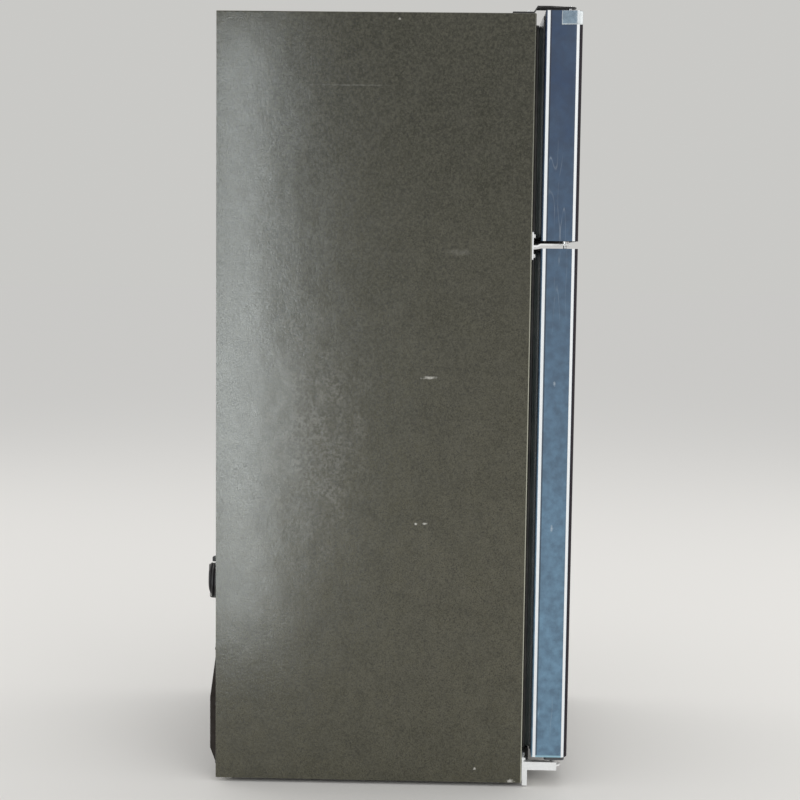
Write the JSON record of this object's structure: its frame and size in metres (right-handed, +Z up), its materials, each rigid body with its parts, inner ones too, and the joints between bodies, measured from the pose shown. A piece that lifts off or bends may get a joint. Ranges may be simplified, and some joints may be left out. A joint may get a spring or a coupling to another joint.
{
  "type": "top freezer refrigerator",
  "caption": "Tall two-door refrigerator with the freezer on top, exposed side hinges, shelves, door bins, drawers and an open rear machine space behind a cover.",
  "frame": {"origin": "on the floor, under the middle of the appliance's box", "axes": "+Z up, the doors face -Y, the hinges are on the -X side"},
  "size_m": [0.73, 0.806, 1.689],
  "materials": {
    "cabinet_paint": "pebbled satin paint",
    "zinc_sheet": "galvanised sheet",
    "foam": "rigid polyurethane foam",
    "liner_plastic": "vacuum-formed white plastic",
    "cover_board": "brown-grey pressed cover",
    "dark_plastic": "dark moulded plastic",
    "black_steel": "black satin paint",
    "zinc_plate": "bright zinc plating",
    "pin_steel": "turned steel",
    "aluminium_fins": "thin rolled fins",
    "fan_plastic": "light moulded plastic",
    "white_wire": "white coated wire",
    "white_plastic": "white moulded plastic",
    "frosted_lens": "frosted lens",
    "shelf_glass": "clear tempered glass",
    "grey_plastic": "grey moulded plastic",
    "clear_plastic": "clear moulded plastic",
    "compressor_paint": "black baked paint",
    "black_rubber": "matt rubber",
    "roller_nylon": "nylon",
    "door_paint": "smooth grey metallic paint",
    "cap_plastic": "dark grey moulded plastic",
    "gasket_vinyl": "soft dark vinyl",
    "cord_vinyl": "black vinyl"
  },
  "bodies": {
    "cabinet": {"cabinet_wrapper": "cabinet_paint", "back_panel": "zinc_sheet", "cabinet_foam": "foam", "freezer_liner": "liner_plastic", "fresh_liner": "liner_plastic", "mullion_rail": "cabinet_paint", "base_frame": "zinc_sheet", "compressor_tray": "zinc_sheet", "machine_cover": "cover_board", "base_grille": "dark_plastic", "top_hinge_plate": "black_steel", "middle_hinge_bracket": "zinc_plate", "bottom_hinge_bracket": "zinc_plate", "hinge_pins": "pin_steel", "hinge_screws": "zinc_plate", "evaporator_cover": "liner_plastic", "evaporator_coil": "aluminium_fins", "evaporator_fan_motor": "dark_plastic", "freezer_shelf": "white_wire", "control_housing": "white_plastic", "lamp_lens": "frosted_lens", "shelf_frames": "white_plastic", "shelf_glasses": "shelf_glass", "crisper_cover_frame": "white_plastic", "crisper_cover_glass": "shelf_glass", "compressor": "compressor_paint", "compressor_grommets": "black_rubber", "condenser_coil": "compressor_paint", "condenser_fan_motor": "dark_plastic", "drain_pan": "dark_plastic", "cord_hook": "dark_plastic", "cord_gland": "black_rubber", "power_cord": "cord_vinyl", "power_cord_coil": "cord_vinyl", "power_plug": "cord_vinyl"},
    "freezer_door": {"freezer_door_skin": "door_paint", "freezer_door_end_caps": "cap_plastic", "freezer_door_foam": "foam", "freezer_door_liner": "liner_plastic", "freezer_door_gasket": "gasket_vinyl", "freezer_door_bins": "clear_plastic"},
    "fresh_door": {"fresh_door_skin": "door_paint", "fresh_door_end_caps": "cap_plastic", "fresh_door_foam": "foam", "fresh_door_liner": "liner_plastic", "fresh_door_gasket": "gasket_vinyl", "fresh_door_bins": "clear_plastic", "dairy_box": "clear_plastic"},
    "dairy_lid": {"dairy_lid": "clear_plastic"},
    "crisper_left": {"crisper_left": "clear_plastic"},
    "crisper_right": {"crisper_right": "clear_plastic"},
    "humidity_slider_left": {"humidity_slider_left": "grey_plastic"},
    "humidity_slider_right": {"humidity_slider_right": "grey_plastic"},
    "temperature_knob": {"temperature_knob": "white_plastic"},
    "evaporator_fan": {"evaporator_fan": "fan_plastic"},
    "condenser_fan": {"condenser_fan": "fan_plastic"},
    "rear_roller_left": {"rear_roller_left": "roller_nylon"},
    "rear_roller_right": {"rear_roller_right": "roller_nylon"},
    "levelling_foot_left": {"levelling_foot_left": "dark_plastic"},
    "levelling_foot_right": {"levelling_foot_right": "dark_plastic"}
  },
  "joints": [
    {"name": "freezer_door_hinge", "type": "hinge", "parent": "cabinet", "child": "freezer_door", "pos_m": [-0.341, -0.376, 1.437], "axis": [0, 0, -1], "range_deg": [0, 125]},
    {"name": "fresh_door_hinge", "type": "hinge", "parent": "cabinet", "child": "fresh_door", "pos_m": [-0.341, -0.376, 0.624], "axis": [0, 0, -1], "range_deg": [0, 125]},
    {"name": "crisper_left_slide", "type": "slide", "parent": "cabinet", "child": "crisper_left", "axis": [0, -1, 0], "range_m": [0, 0.25]},
    {"name": "crisper_right_slide", "type": "slide", "parent": "cabinet", "child": "crisper_right", "axis": [0, -1, 0], "range_m": [0, 0.25]},
    {"name": "dairy_lid_hinge", "type": "hinge", "parent": "fresh_door", "child": "dairy_lid", "pos_m": [0, -0.218, 1.112], "axis": [1, 0, 0], "range_deg": [0, 100]},
    {"name": "temperature_knob_turn", "type": "hinge", "parent": "cabinet", "child": "temperature_knob", "pos_m": [0, -0.0605, 1.14], "axis": [0, -1, 0], "range_deg": [0, 300]},
    {"name": "humidity_left_slide", "type": "slide", "parent": "cabinet", "child": "humidity_slider_left", "axis": [1, 0, 0], "range_m": [0, 0.04]},
    {"name": "humidity_right_slide", "type": "slide", "parent": "cabinet", "child": "humidity_slider_right", "axis": [1, 0, 0], "range_m": [0, 0.04]},
    {"name": "evaporator_fan_spin", "type": "hinge", "parent": "cabinet", "child": "evaporator_fan", "pos_m": [0, 0.259, 1.535], "axis": [0, 1, 0], "continuous": true},
    {"name": "condenser_fan_spin", "type": "hinge", "parent": "cabinet", "child": "condenser_fan", "pos_m": [0.043, 0.286, 0.15], "axis": [1, 0, 0], "continuous": true},
    {"name": "rear_roller_left_spin", "type": "hinge", "parent": "cabinet", "child": "rear_roller_left", "pos_m": [-0.336, 0.345, 0.022], "axis": [1, 0, 0], "continuous": true},
    {"name": "rear_roller_right_spin", "type": "hinge", "parent": "cabinet", "child": "rear_roller_right", "pos_m": [0.336, 0.345, 0.022], "axis": [1, 0, 0], "continuous": true},
    {"name": "levelling_foot_left_turn", "type": "hinge", "parent": "cabinet", "child": "levelling_foot_left", "pos_m": [-0.322, -0.292, 0.03], "axis": [0, 0, 1], "continuous": true},
    {"name": "levelling_foot_right_turn", "type": "hinge", "parent": "cabinet", "child": "levelling_foot_right", "pos_m": [0.322, -0.292, 0.03], "axis": [0, 0, 1], "continuous": true}
  ],
  "couplings": [
    {"joint": "crisper_left_slide", "follows": "fresh_door_hinge", "m_per_rad": 0.11459},
    {"joint": "crisper_right_slide", "follows": "fresh_door_hinge", "m_per_rad": 0.11459}
  ]
}
